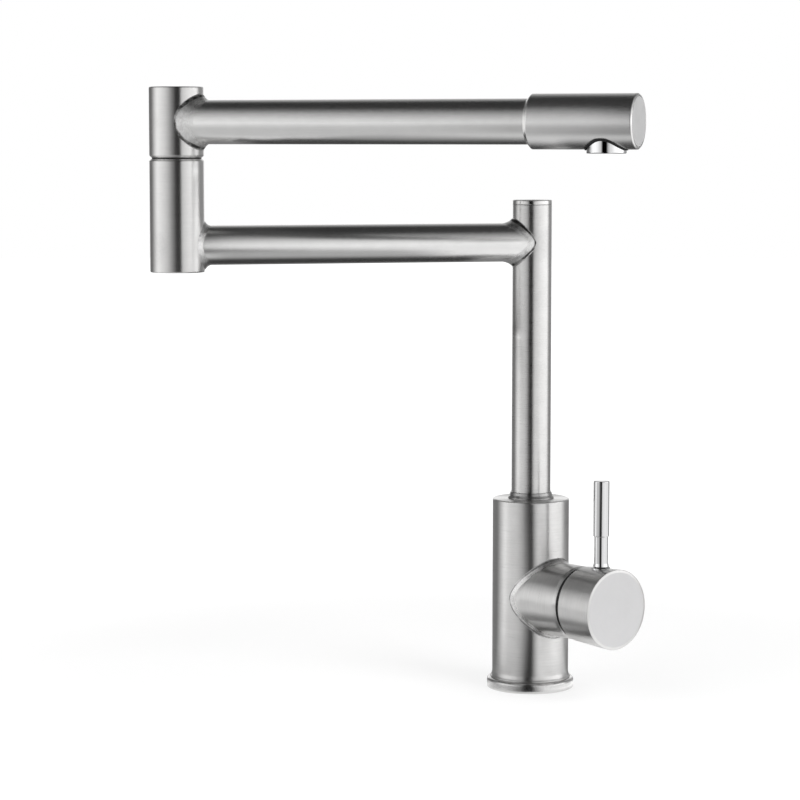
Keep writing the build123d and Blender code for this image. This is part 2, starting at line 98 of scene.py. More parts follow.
# %% [markdown]
# ## A small kit for shader nodes
# Shader trees get long, so a few helpers keep them readable: they add a node, do arithmetic on
# numbers and vectors, or mix two things. Inputs can be plain values or the outputs of other nodes.

# %% Shader helpers


def new_material(name):
    material = bpy.data.materials.new(name)
    material.use_nodes = True
    material.node_tree.nodes.clear()
    return material, material.node_tree


def node(tree, kind, **inputs):
    made = tree.nodes.new(kind)
    for key, value in inputs.items():
        plug(tree, made, key.replace("_", " "), value)
    return made


def plug(tree, made, key, value):
    socket = made.inputs[key]
    if isinstance(value, bpy.types.NodeSocket):
        tree.links.new(value, socket)
    else:
        socket.default_value = value


def number(tree, operation, *values, clamp=False):
    made = tree.nodes.new("ShaderNodeMath")
    made.operation = operation
    made.use_clamp = clamp
    for place, value in enumerate(values):
        plug(tree, made, place, value)
    return made.outputs[0]


def vector(tree, operation, *values):
    made = tree.nodes.new("ShaderNodeVectorMath")
    made.operation = operation
    for place, value in enumerate(values):
        key = 3 if operation == "SCALE" and place == 1 else place
        plug(tree, made, key, value)
    return made.outputs[1] if operation in ("DOT_PRODUCT", "LENGTH", "DISTANCE") else made.outputs[0]


def weigh(tree, first, first_share, second, second_share):
    return number(tree, "ADD", number(tree, "MULTIPLY", first, first_share),
                  number(tree, "MULTIPLY", second, second_share))


def grown(tree, value, gain, start):
    return number(tree, "ADD", number(tree, "MULTIPLY", value, gain), start)


def spread(tree, value, low, high, to_low, to_high, way="SMOOTHSTEP"):
    made = tree.nodes.new("ShaderNodeMapRange")
    made.interpolation_type = way
    for place, entry in enumerate((value, low, high, to_low, to_high)):
        plug(tree, made, place, entry)
    return made.outputs[0]


def noise(tree, where, scale, detail=2.0, rough=0.5):
    made = node(tree, "ShaderNodeTexNoise", Vector=where, Scale=scale, Detail=detail, Roughness=rough)
    return made.outputs[0]


def tint(tree, factor, dark, light):
    made = tree.nodes.new("ShaderNodeMix")
    made.data_type = "RGBA"
    plug(tree, made, 0, factor)
    for place, colour in ((6, dark), (7, light)):
        plug(tree, made, place, colour if isinstance(colour, bpy.types.NodeSocket) else (*colour, 1))
    return made.outputs[2]


def mix_vectors(tree, factor, first, second):
    made = tree.nodes.new("ShaderNodeMix")
    made.data_type = "VECTOR"
    for place, value in ((0, factor), (4, first), (5, second)):
        plug(tree, made, place, value)
    return made.outputs[1]


def mix_shaders(tree, factor, first, second):
    made = tree.nodes.new("ShaderNodeMixShader")
    for place, value in enumerate((factor, first, second)):
        plug(tree, made, place, value)
    return made.outputs[0]


def place_of(tree):
    return tree.nodes.new("ShaderNodeTexCoord").outputs["Object"]


def finish_with(tree, shader):
    out = tree.nodes.new("ShaderNodeOutputMaterial")
    tree.links.new(shader, out.inputs["Surface"])


print("shader helpers ready")

# %% [markdown]
# ## Brushing around an axis
# A brushed tube is turned against an abrasive belt, so its fine scratches run around it. Light then
# spreads along the tube and stays sharp around it, which is why a brushed tube shows crisp dark and
# bright bands. Two things are needed: a noise stretched around the axis, for the scratches, and an
# anisotropic shader whose tangent lies across them. The same arithmetic gives rings on a flat end,
# where a slow drift from ring to ring keeps neighbouring rings apart. The arms and the head were drawn
# along the belt instead, so their hairlines run lengthwise.

# %% Coordinates around an axis
ring_drift = (0.37, 0.71, 0.59)


def around(tree, centre, axis):
    where = vector(tree, "SUBTRACT", place_of(tree), tuple(centre))
    along = vector(tree, "DOT_PRODUCT", where, tuple(axis))
    lengthwise = vector(tree, "SCALE", tuple(axis), along)
    outward = vector(tree, "SUBTRACT", where, lengthwise)
    reach = vector(tree, "LENGTH", outward)
    ray = vector(tree, "NORMALIZE", outward)
    return {"along": along, "lengthwise": lengthwise, "ray": ray, "reach": reach, "where": where}


def scratches(tree, spot, count, curl):
    turn = vector(tree, "SCALE", spot["ray"], curl)
    flat = vector(tree, "SCALE", spot["lengthwise"], count)
    deep = vector(tree, "SCALE", ring_drift, number(tree, "MULTIPLY", spot["reach"], count))
    return vector(tree, "ADD", vector(tree, "ADD", flat, deep), turn)


def hairlines(tree, spot, count, draw):
    outward = vector(tree, "SUBTRACT", spot["where"], spot["lengthwise"])
    fine = vector(tree, "SCALE", outward, count)
    drawn = vector(tree, "SCALE", spot["lengthwise"], draw)
    return vector(tree, "ADD", fine, drawn)


def across(tree, spot, axis, lengthwise=False):
    normal = tree.nodes.new("ShaderNodeTexCoord").outputs["Normal"]
    if lengthwise:
        return vector(tree, "CROSS_PRODUCT", tuple(axis), normal)
    groove = vector(tree, "CROSS_PRODUCT", tuple(axis), spot["ray"])
    return vector(tree, "CROSS_PRODUCT", groove, normal)


def to_world(tree, direction):
    made = tree.nodes.new("ShaderNodeVectorTransform")
    made.vector_type = "VECTOR"
    made.convert_from = "OBJECT"
    made.convert_to = "WORLD"
    tree.links.new(direction, made.inputs[0])
    return made.outputs[0]


print("axis helpers ready")

# %% [markdown]
# ## The steel itself
# One function makes every brushed steel finish. Its base is a warm grey metal. The scratches change
# the colour and the roughness a little and give a shallow bump, a slow mottle keeps large surfaces
# from looking drawn, and close to a weld the brushing breaks up into a ground, spotted surface.

# %% Grain, weld zones and soft edges
fine_per_metre = 5200.0
broad_per_metre = 900.0
edge_round = 0.0009
weld_zone = (0.0004, 0.0042)
neck_zone = (-0.0012, 0.0025)


def soft_edges(tree, radius):
    made = node(tree, "ShaderNodeBevel", Radius=radius)
    made.samples = 6
    return made.outputs[0]


def grain_pair(tree, spot, lengthwise=False):
    if lengthwise:
        fine_at = hairlines(tree, spot, fine_per_metre, draw=60.0)
        broad_at = hairlines(tree, spot, broad_per_metre, draw=9.0)
    else:
        fine_at = scratches(tree, spot, fine_per_metre, curl=2.2)
        broad_at = scratches(tree, spot, broad_per_metre, curl=1.4)
    return noise(tree, fine_at, 1.0, 2.0, 0.6), noise(tree, broad_at, 1.0, 2.0, 0.55)


def near_welds(tree, welds):
    welded = None
    for weld_centre, weld_axis, weld_radius in welds:
        near = around(tree, weld_centre, weld_axis)
        begin, end = (weld_radius + gap for gap in weld_zone)
        close = spread(tree, near["reach"], begin, end, 1.0, 0.0)
        welded = close if welded is None else number(tree, "MAXIMUM", welded, close)
    return welded


def pale_face(tree, surface, axis, face, tone, dull, bump):
    pale = node(tree, "ShaderNodeBsdfPrincipled", Normal=bump.outputs[0],
                Base_Color=tint(tree, tone, tuple(0.96 * c for c in face), face),
                Roughness=number(tree, "ADD", dull, 0.24))
    pale.inputs["Metallic"].default_value = 1.0
    normal = tree.nodes.new("ShaderNodeTexCoord").outputs["Normal"]
    towards = vector(tree, "DOT_PRODUCT", normal, tuple(axis))
    return mix_shaders(tree, spread(tree, towards, 0.98, 0.995, 0.0, 1.0), surface, pale.outputs[0])


print("grain helpers ready")

# %% Brushed steel
mottle_per_metre, speckle_per_metre = 95.0, 620.0
tone_window = (0.32, 0.68)
dark_share, light_share = 0.075, 0.05
rough_swing, weld_dulling = 0.15, 0.05
groove_depth = 0.00006


def brushed_steel(name, centre, axis, colour, rough=0.32, directional=0.9, welds=(), second=None,
                  grain=1.0, lengthwise=False, face=None):
    material, tree = new_material(name)
    spot = around(tree, centre, axis)
    fine, broad = grain_pair(tree, spot, lengthwise)
    tangent = across(tree, spot, axis, lengthwise)
    if second:
        other_centre, other_axis, start = second
        other = around(tree, other_centre, other_axis)
        begin, end = (start + gap for gap in neck_zone)
        on_other = spread(tree, spot["reach"], begin, end, 0.0, 1.0)
        on_first = number(tree, "SUBTRACT", 1.0, on_other)
        other_fine, other_broad = grain_pair(tree, other)
        fine = weigh(tree, fine, on_first, other_fine, on_other)
        broad = weigh(tree, broad, on_first, other_broad, on_other)
        tangent = mix_vectors(tree, on_other, tangent, across(tree, other, other_axis))
    here = place_of(tree)
    mottle = noise(tree, here, mottle_per_metre, 3.0, 0.6)
    line = weigh(tree, fine, 0.55, broad, 0.45)
    tone = weigh(tree, line, 0.6, mottle, 0.4)
    welded = near_welds(tree, welds)
    if welded is not None:
        speckle = noise(tree, here, speckle_per_metre, 3.0, 0.65)
        ground = weigh(tree, speckle, 0.7, mottle, 0.3)
        brushed = number(tree, "SUBTRACT", 1.0, welded)
        tone = weigh(tree, tone, brushed, ground, welded)
        line = weigh(tree, line, brushed, ground, welded)
    tone = spread(tree, tone, *tone_window, 0.0, 1.0)
    dark = tuple(c * (1 - dark_share * grain) for c in colour)
    light = tuple(min(1.0, c * (1 + light_share * grain)) for c in colour)
    dull = grown(tree, number(tree, "SUBTRACT", line, 0.5), rough_swing * grain, rough)
    if welded is not None:
        dull = number(tree, "ADD", dull, number(tree, "MULTIPLY", welded, weld_dulling))
    bump = node(tree, "ShaderNodeBump", Strength=0.10 * grain, Distance=groove_depth, Height=line,
                Normal=soft_edges(tree, edge_round))
    shader = node(tree, "ShaderNodeBsdfPrincipled", Base_Color=tint(tree, tone, dark, light),
                  Roughness=dull, Normal=bump.outputs[0], Tangent=to_world(tree, tangent))
    shader.inputs["Metallic"].default_value = 1.0
    shader.inputs["Anisotropic"].default_value = directional
    surface = shader.outputs[0]
    if face:
        surface = pale_face(tree, surface, axis, face, tone, dull, bump)
    finish_with(tree, surface)
    return material


def wear(node_name, material):
    slots = nodes[node_name].data.materials
    slots.clear()
    slots.append(material)


print("brushed steel ready")

# %% [markdown]
# ## Which piece wears which steel
# The body, the riser and the knuckles are one steel, brushed around. The arms and the head are drawn
# lengthwise, and their paler colour is painted light that stands in for the brighter light they catch.
# The flange has a coarser grain, and the collar at the riser's foot is darker.
# The flat face of the handle cap has a colour of its own. Painted textures would not follow a change
# of size in the CAD model, so each piece gets the same function with a few settings instead.

# %% Brushed pieces
steel = (0.755, 0.75, 0.743)
# Painted light: the arm and head colours are paler copies of the steel, for the brighter light on them.
arm_steel = (0.84, 0.837, 0.831)
lower_arm_steel = (0.88, 0.877, 0.871)
head_steel = (0.90, 0.897, 0.893)
flange_steel = (0.72, 0.715, 0.71)
collar_steel = (0.5, 0.497, 0.494)
cap_face = (0.712, 0.709, 0.714)
neck_start = 0.0262
lower_weld = (lower_arm_start, lower_arm_axis, lower_arm_radius)
upper_weld = (upper_arm_start, upper_arm_axis, upper_arm_radius)
riser_post = (deck, up, riser_radius)
knuckle_post = (elbow, up, knuckle_radius)
wear("mixer_body", brushed_steel("body_steel", deck, up, steel, rough=0.3,
                                 second=(valve_centre, valve_axis, neck_start)))
wear("base_flange", brushed_steel("flange_steel", deck, up, flange_steel, rough=0.24, grain=1.5))
wear("riser_tube", brushed_steel("riser_steel", deck, up, steel, rough=0.29, welds=[lower_weld]))
wear("riser_top_cap", brushed_steel("riser_cap_steel", deck, up, steel, rough=0.2))
wear("lower_arm_tube", brushed_steel("lower_arm_steel", lower_arm_start, lower_arm_axis,
                                     lower_arm_steel, rough=0.19, grain=0.6,
                                     welds=[riser_post, knuckle_post], lengthwise=True))
wear("lower_knuckle", brushed_steel("lower_knuckle_steel", elbow, up, steel, rough=0.3, grain=0.7,
                                    welds=[lower_weld]))
wear("lower_knuckle_cap", brushed_steel("lower_knuckle_cap_steel", elbow, up, steel))
wear("upper_knuckle", brushed_steel("upper_knuckle_steel", elbow, up, steel, rough=0.3, grain=0.7,
                                    welds=[upper_weld]))
wear("upper_knuckle_cap", brushed_steel("upper_knuckle_cap_steel", elbow, up, steel))
wear("upper_arm_tube", brushed_steel("upper_arm_steel", upper_arm_start, upper_arm_axis, arm_steel,
                                     rough=0.19, grain=0.6, welds=[knuckle_post], lengthwise=True))
wear("spout_head", brushed_steel("head_steel", upper_arm_start, upper_arm_axis, head_steel,
                                 rough=0.21, grain=0.5, lengthwise=True))
wear("handle_cap", brushed_steel("handle_steel", valve_centre, valve_axis, steel, face=cap_face))
wear("riser_collar", brushed_steel("collar_steel", deck, up, collar_steel, rough=0.28))
print("brushed pieces finished")

# %% [markdown]
# ## Weld beads
# Each arm is welded to its post, and the weld was ground by hand: a low bead that runs around the
# seam, wide at the front, hollow above and below, with small lumps. Its broken dark line near the post
# is painted shade, for the crevice where the bead meets the post. A boolean cannot give such a bead,
# so the seam of the two tubes is worked out point by point and a short curve is carried around it.
# The curve leaves the arm without a step and drops to the post at its far end. Noise moves the points
# a little, as a grinder would. Each leg, and the height of the crown, is a pair: its size at the front
# of the seam and its size at the top and bottom.

# %% Profile around a seam
from mathutils import noise as lumps_of

post_sink = 0.0002
arm_sink = 0.0001
root_depth = 0.0006
lump_height, lumps_per_metre = 0.00016, 420
grit_height, grit_per_metre = 0.00006, 1300


def bead_profile(post, post_radius, axis, arm_radius, turn, leg_arm, leg_post, crown, rows):
    side = up.cross(axis)
    steep = math.sin(turn) ** 2
    pairs = (leg_arm, leg_post, crown)
    leg_arm, leg_post, crown = [front + (top - front) * steep for front, top in pairs]
    reach, level = arm_radius * math.cos(turn), arm_radius * math.sin(turn)
    swing = math.asin(reach / post_radius)
    arm_normal = side * math.cos(turn) + up * math.sin(turn)
    post_normal = axis * math.cos(swing) + side * math.sin(swing)
    seam = post + post_radius * post_normal + up * level
    drift = Vector((reach, level / math.cos(swing))).normalized()
    far_swing = swing + leg_post * drift.x / post_radius
    far_normal = axis * math.cos(far_swing) + side * math.sin(far_swing)
    foot = post + (post_radius - post_sink) * far_normal + up * (level + leg_post * drift.y)
    toe = seam + axis * leg_arm - arm_normal * arm_sink
    outward = (arm_normal + post_normal).normalized()
    hold = toe.lerp(seam, 0.62)
    lip = foot.lerp(seam, 0.25) + far_normal * crown
    line = []
    for row in range(rows):
        t = row / (rows - 1)
        s = 1 - t
        spot = toe * s ** 3 + hold * 3 * s * s * t + lip * 3 * s * t * t + foot * t ** 3
        lump = lumps_of.noise(spot * lumps_per_metre) * lump_height
        lump += lumps_of.noise(spot * grit_per_metre) * grit_height
        line.append(spot + outward * lump * 4 * t * (1 - t))
    line.append(seam - outward * root_depth)
    return line


print("bead profile ready")


# %% Bead mesh
def weld_bead(name, body, post, post_radius, axis, arm_radius, leg_arm, leg_post, crown, finish,
              steps=220, rows=13):
    form = bmesh.new()
    layer = form.loops.layers.uv.new("across")
    rings = []
    for step in range(steps):
        turn = 2 * math.pi * step / steps
        line = bead_profile(post, post_radius, axis, arm_radius, turn, leg_arm, leg_post, crown, rows)
        rings.append([form.verts.new(spot) for spot in line])
    for step in range(steps):
        here, there = rings[step], rings[(step + 1) % steps]
        for row in range(rows + 1):
            after = (row + 1) % (rows + 1)
            face = form.faces.new((here[row], there[row], there[after], here[after]))
            face.smooth = True
            for loop, (du, dv) in zip(face.loops, ((0, 0), (1, 0), (1, 1), (0, 1))):
                loop[layer].uv = ((step + du) / steps, min(1.0, (row + dv) / (rows - 1)))
    bmesh.ops.recalc_face_normals(form, faces=form.faces)
    mesh = bpy.data.meshes.new(name)
    form.to_mesh(mesh)
    form.free()
    mesh.materials.append(finish)
    piece = bpy.data.objects.new(name, mesh)
    bpy.context.scene.collection.objects.link(piece)
    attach(piece, body)
    return piece


print("bead mesh ready")

# %% [markdown]
# ## Steel of the welds
# Towards the arm the bead looks like the arm, and towards the post like ground metal with a dark line
# of painted shade, for the crevice where the bead meets the post. The setting just before `rough` gives
# how black that painted shade is, and `edge` where it runs at the front. `flow` turns the shading towards
# that of the arm, because a ground bead passes into the arm without a step.

# %% Ground weld steel
ground_dark = (0.74, 0.735, 0.73)
ground_light = (0.97, 0.967, 0.963)
# Near-black of the painted shade in the crevice between bead and post.
crevice_shade_black = (0.045, 0.044, 0.043)
lump_scale, grit_scale, break_scale = 520.0, 2300.0, 150.0
top_edge = 0.66
line_width = (0.13, 0.16)


def weld_steel(name, centre, axis, colour, crevice_shade, rough, flow, edge, lengthwise=True):
    material, tree = new_material(name)
    uv = tree.nodes.new("ShaderNodeUVMap")
    uv.uv_map = "across"
    split = tree.nodes.new("ShaderNodeSeparateXYZ")
    tree.links.new(uv.outputs[0], split.inputs[0])
    here = place_of(tree)
    lumpy = noise(tree, here, lump_scale, 3.0, 0.6)
    grit = noise(tree, here, grit_scale, 2.0, 0.6)
    tone = spread(tree, weigh(tree, lumpy, 0.6, grit, 0.4), 0.36, 0.64, 0.0, 1.0)
    ragged = grown(tree, number(tree, "SUBTRACT", lumpy, 0.5), 0.16, split.outputs[1])
    # Painted shade: a broken dark line along the crevice where the bead meets the post.
    swing = number(tree, "SINE", number(tree, "MULTIPLY", split.outputs[0], 2 * math.pi))
    steep = number(tree, "MULTIPLY", swing, swing)
    line_at = spread(tree, steep, 0.0, 1.0, edge, top_edge, "LINEAR")
    half_line = spread(tree, steep, 0.0, 1.0, *line_width, "LINEAR")
    apart = number(tree, "ABSOLUTE", number(tree, "SUBTRACT", ragged, line_at))
    off_line = number(tree, "DIVIDE", apart, half_line)
    broken = spread(tree, noise(tree, here, break_scale, 2.0, 0.6), 0.36, 0.52, 0.5, 1.0)
    dark = number(tree, "MULTIPLY", spread(tree, off_line, 0.45, 1.1, crevice_shade, 0.0), broken)
    metal = tint(tree, dark, tint(tree, tone, ground_dark, ground_light), crevice_shade_black)
    height = weigh(tree, lumpy, 0.7, grit, 0.3)
    spot = around(tree, centre, axis)
    own_normal = tree.nodes.new("ShaderNodeNewGeometry").outputs["Normal"]
    eased = mix_vectors(tree, flow, own_normal, to_world(tree, spot["ray"]))
    facing = vector(tree, "NORMALIZE", eased)
    bump = node(tree, "ShaderNodeBump", Strength=0.4, Distance=0.0002, Height=height, Normal=facing)
    dull = grown(tree, lumpy, 0.2, grown(tree, dark, 0.1, rough))
    shader = node(tree, "ShaderNodeBsdfPrincipled", Base_Color=metal, Roughness=dull,
                  Normal=bump.outputs[0])
    shader.inputs["Metallic"].default_value = 1.0
    arm_colour = tint(tree, tone, tuple(0.94 * c for c in colour), colour)
    like_arm = node(tree, "ShaderNodeBsdfPrincipled", Base_Color=arm_colour, Normal=facing,
                    Tangent=to_world(tree, across(tree, spot, axis, lengthwise)))
    like_arm.inputs["Metallic"].default_value = 1.0
    like_arm.inputs["Roughness"].default_value = 0.25
    like_arm.inputs["Anisotropic"].default_value = 0.9
    to_bead = spread(tree, ragged, 0.12, 0.62, 0.0, 1.0)
    finish_with(tree, mix_shaders(tree, to_bead, like_arm.outputs[0], shader.outputs[0]))
    return material


print("weld steel ready")

# %% [markdown]
# ## The four beads
# The weld at the riser gets a deep painted shade line where it meets the post, and the one at the lower
# knuckle only a faint one. The upper arm's bead passes into the arm and ends at its knuckle in a sharp
# dark line of painted shade, and the one around the neck is thin. All four come from the same two
# functions, so only their sizes and the depth of their painted shade are set here.

# %% Four beads
# Each bead's dark line at its post is painted shade for the crevice there.
deep_shade_weld = weld_steel("riser_weld_steel", lower_arm_start, lower_arm_axis, lower_arm_steel,
                        crevice_shade=0.97, rough=0.24, flow=0.25, edge=0.74)
faint_shade_weld = weld_steel("clean_weld_steel", lower_arm_start, lower_arm_axis, lower_arm_steel,
                        crevice_shade=0.1, rough=0.3, flow=0.25, edge=0.74)
dull_weld = weld_steel("elbow_weld_steel", upper_arm_start, upper_arm_axis, arm_steel,
                       crevice_shade=0.92, rough=0.32, flow=0.84, edge=0.86)
neck_finish = weld_steel("neck_weld_steel", valve_centre, valve_axis, steel,
                         crevice_shade=0.6, rough=0.30, flow=0.2, edge=0.74, lengthwise=False)
lower_elbow = Vector((elbow.x, elbow.y, lower_arm_level))
weld_bead("riser_weld", "riser", lower_arm_start, riser_radius, lower_arm_axis, lower_arm_radius,
          leg_arm=(0.0060, 0.0085), leg_post=(0.0025, 0.0036), crown=(0.00045, 0.0008),
          finish=deep_shade_weld)
weld_bead("lower_knuckle_weld", "riser", lower_elbow, knuckle_radius, -lower_arm_axis, lower_arm_radius,
          leg_arm=(0.0034, 0.0046), leg_post=(0.0022, 0.0032), crown=(0.0002, 0.0008),
          finish=faint_shade_weld)
weld_bead("upper_knuckle_weld", "spout", upper_arm_start, knuckle_radius, upper_arm_axis,
          upper_arm_radius,
          leg_arm=(0.0090, 0.0056), leg_post=(0.0060, 0.0042), crown=(0.0008, 0.0009),
          finish=dull_weld)
weld_bead("neck_weld", "base", valve_centre, body_radius, valve_axis, neck_radius,
          leg_arm=(0.0038, 0.0036), leg_post=(0.0020, 0.0030), crown=(0.0004, 0.0007),
          finish=neck_finish)

# %% [markdown]
# ## Blasted disc
# The disc that closes the spout head is paler and has no direction: it was blasted with fine beads.
# A dense speckle in the bump and a higher, even roughness do that.

# %% Blasted steel


def blasted_steel(name, colour, rough):
    material, tree = new_material(name)
    here = place_of(tree)
    dents = noise(tree, here, 2600.0, 2.0, 0.5)
    cloud = noise(tree, here, 140.0, 3.0, 0.6)
    tone = spread(tree, weigh(tree, dents, 0.5, cloud, 0.5), 0.35, 0.65, 0.0, 1.0)
    dull = grown(tree, cloud, 0.12, rough - 0.06)
    bump = node(tree, "ShaderNodeBump", Strength=0.25, Distance=0.00005, Height=dents)
    shade = tint(tree, tone, tuple(c * 0.95 for c in colour), colour)
    shader = node(tree, "ShaderNodeBsdfPrincipled", Base_Color=shade, Roughness=dull,
                  Normal=bump.outputs[0])
    shader.inputs["Metallic"].default_value = 1.0
    finish_with(tree, shader.outputs[0])
    return material


disc_pale = (0.90, 0.90, 0.90)
wear("head_end_disc", blasted_steel("disc_steel", disc_pale, rough=0.58))
print("disc finished")

# %% [markdown]
# ## Bright chrome
# The lever and the aerator are plated and polished. Polished metal is never a perfect mirror, so a
# long soft waviness and faint hairlines keep its reflections alive.

# %% Chrome
chrome_dark = (0.80, 0.80, 0.805)
chrome_light = (0.86, 0.86, 0.865)


def bright_chrome(name, centre, axis):
    material, tree = new_material(name)
    spot = around(tree, centre, axis)
    hair = noise(tree, scratches(tree, spot, count=3200.0, curl=1.6), 1.0, 2.0, 0.6)
    wave = noise(tree, place_of(tree), 70.0, 1.0, 0.4)
    height = grown(tree, hair, 0.15, wave)
    dull = grown(tree, hair, 0.04, 0.015)
    bump = node(tree, "ShaderNodeBump", Strength=0.08, Distance=0.0002, Height=height)
    shade = tint(tree, hair, chrome_dark, chrome_light)
    shader = node(tree, "ShaderNodeBsdfPrincipled", Base_Color=shade, Roughness=dull,
                  Normal=bump.outputs[0])
    shader.inputs["Metallic"].default_value = 1.0
    finish_with(tree, shader.outputs[0])
    return material


lever_chrome = bright_chrome("lever_chrome", lever_foot, up)
wear("lever_rod", lever_chrome)
wear("lever_sleeve", lever_chrome)
wear("lever_root", lever_chrome)
wear("aerator_shell", bright_chrome("aerator_chrome", aerator_centre, up))
print("chrome finished")

# %% [markdown]
# ## Plastics, rubber, brass and ceramic
# Most of these hide inside, but the black slip rings show as thin dark seams, and the rest is seen
# from below or when the model is opened. Each keeps the small marks of how it was made: moulded
# skin on plastic, turning lines on brass, a talc bloom on rubber.

# %% Small finishes


def moulded(name, colour, rough, skin=900.0, gloss=0.5):
    material, tree = new_material(name)
    here = place_of(tree)
    grain = noise(tree, here, skin, 2.0, 0.55)
    cloud = noise(tree, here, 120.0, 2.0, 0.5)
    dull = grown(tree, cloud, 0.16, rough - 0.08)
    bump = node(tree, "ShaderNodeBump", Strength=0.2, Distance=0.00006, Height=grain)
    pale = tuple(min(1.0, c * 1.12 + 0.004) for c in colour)
    shader = node(tree, "ShaderNodeBsdfPrincipled", Base_Color=tint(tree, cloud, colour, pale),
                  Roughness=dull, Normal=bump.outputs[0])
    shader.inputs["Specular IOR Level"].default_value = gloss
    finish_with(tree, shader.outputs[0])
    return material


brass_clean = (0.76, 0.56, 0.26)
brass_stained = (0.62, 0.43, 0.19)


def turned_brass(name, centre, axis):
    material, tree = new_material(name)
    spot = around(tree, centre, axis)
    rings = noise(tree, scratches(tree, spot, count=2600.0, curl=0.8), 1.0, 2.0, 0.55)
    stain = noise(tree, place_of(tree), 160.0, 3.0, 0.6)
    colour = tint(tree, spread(tree, stain, 0.35, 0.7, 0.0, 1.0), brass_clean, brass_stained)
    dull = grown(tree, rings, 0.18, 0.2)
    bump = node(tree, "ShaderNodeBump", Strength=0.25, Distance=0.00008, Height=rings)
    shader = node(tree, "ShaderNodeBsdfPrincipled", Base_Color=colour, Roughness=dull,
                  Normal=bump.outputs[0])
    shader.inputs["Metallic"].default_value = 1.0
    finish_with(tree, shader.outputs[0])
    return material


print("small finishes ready")

# %% Plastic, ceramic and rubber pieces
slip_black = moulded("slip_black", (0.010, 0.010, 0.0105), rough=0.46, gloss=0.3)
for name in ("elbow_washer", "seam_ring"):
    wear(name, slip_black)
wear("elbow_bushes", moulded("bush_cream", (0.74, 0.72, 0.66), rough=0.4))
white_mould = moulded("white_mould", (0.78, 0.78, 0.75), rough=0.35)
for name in ("aerator_insert", "stem_guide", "disc_carrier"):
    wear(name, white_mould)
grey_mould = moulded("grey_mould", (0.24, 0.26, 0.29), rough=0.42)
for name in ("cartridge_base", "cartridge_shell"):
    wear(name, grey_mould)
wear("screw_plug", moulded("plug_grey", (0.42, 0.43, 0.44), rough=0.3))
ceramic = moulded("disc_ceramic", (0.84, 0.83, 0.79), rough=0.14, skin=2400.0, gloss=0.6)
for name in ("fixed_disc", "moving_disc"):
    wear(name, ceramic)
rubber = moulded("seal_rubber", (0.022, 0.022, 0.023), rough=0.66, skin=1800.0, gloss=0.35)
for name in ("base_seal", "riser_o_rings", "elbow_o_rings", "aerator_gasket", "port_seals"):
    wear(name, rubber)
print("plastic, ceramic and rubber finished")

# %% [markdown]
# ## Threads and the aerator's seal
# Seen from below, the shank hole and the two hose inlets have screw threads: a small three-sided
# profile carried along a helix. The aerator stands in a round recess cut into a round head, so the
# edge of the recess is a saddle, and a black seal fills the gap and follows that edge. The seal is
# sized from the aerator and the head, and each thread from its mount in the CAD model, so that both
# stay right when a size changes there.

# %% Helix and saddle meshes
root_sink = 0.0001
run_out, thin_end = 20, 0.02
thread_height, thread_half = 0.54, 0.44
first_turn, spare_turns = 0.8, 1.4
lip_top, lip_drop, lip_dip = 0.0008, 0.0005, 0.0009
lip_round, lip_slope = 0.0003, 0.0001


def joined_rings(name, body, rings, closed, finish):
    form = bmesh.new()
    knots = [[form.verts.new(spot) for spot in ring] for ring in rings]
    sides = len(rings[0])
    for place in range(len(knots) if closed else len(knots) - 1):
        here, there = knots[place], knots[(place + 1) % len(knots)]
        for row in range(sides):
            after = (row + 1) % sides
            form.faces.new((here[row], there[row], there[after], here[after])).smooth = sides > 3
    if not closed:
        form.faces.new(knots[0])
        form.faces.new(knots[-1])
    bmesh.ops.recalc_face_normals(form, faces=form.faces)
    mesh = bpy.data.meshes.new(name)
    form.to_mesh(mesh)
    form.free()
    mesh.materials.append(finish)
    piece = bpy.data.objects.new(name, mesh)
    bpy.context.scene.collection.objects.link(piece)
    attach(piece, body)
    return piece


def inner_thread(name, body, mouth, radius, depth, pitch, finish, steps=60):
    crest = thread_height * pitch
    rings = []
    turns = int((depth - spare_turns * pitch) / pitch)
    for step in range(turns * steps + 1):
        turn = 2 * math.pi * step / steps
        ray = Vector((math.cos(turn), math.sin(turn), 0))
        level = mouth.z + first_turn * pitch + pitch * step / steps
        grow = min(1.0, step / run_out, (turns * steps - step) / run_out + thin_end)
        tip = radius - crest * max(thin_end, grow)
        base = Vector((mouth.x, mouth.y, level))
        root = base + ray * (radius + root_sink)
        half = up * thread_half * pitch
        rings.append([root - half, base + ray * tip, root + half])
    return joined_rings(name, body, rings, False, finish)


def saddle_seal(name, body, centre, head_radius, inner, outer, ceiling, finish, steps=144):
    side = up.cross(upper_arm_axis)
    rings = []
    for step in range(steps):
        turn = 2 * math.pi * step / steps
        ray = upper_arm_axis * math.cos(turn) + side * math.sin(turn)
        edge = -math.sqrt(head_radius ** 2 - (outer * math.sin(turn)) ** 2)
        low = edge - lip_drop - lip_dip * abs(math.sin(turn))
        high = min(edge + lip_top, ceiling)
        section = ((outer, high), (outer, low + 2 * lip_round), (outer - lip_round, low + lip_slope),
                   (inner + lip_round, low), (inner, low + lip_round), (inner, high))
        rings.append([centre + ray * reach + up * level for reach, level in section])
    return joined_rings(name, body, rings, True, finish)


print("thread and seal helpers ready")

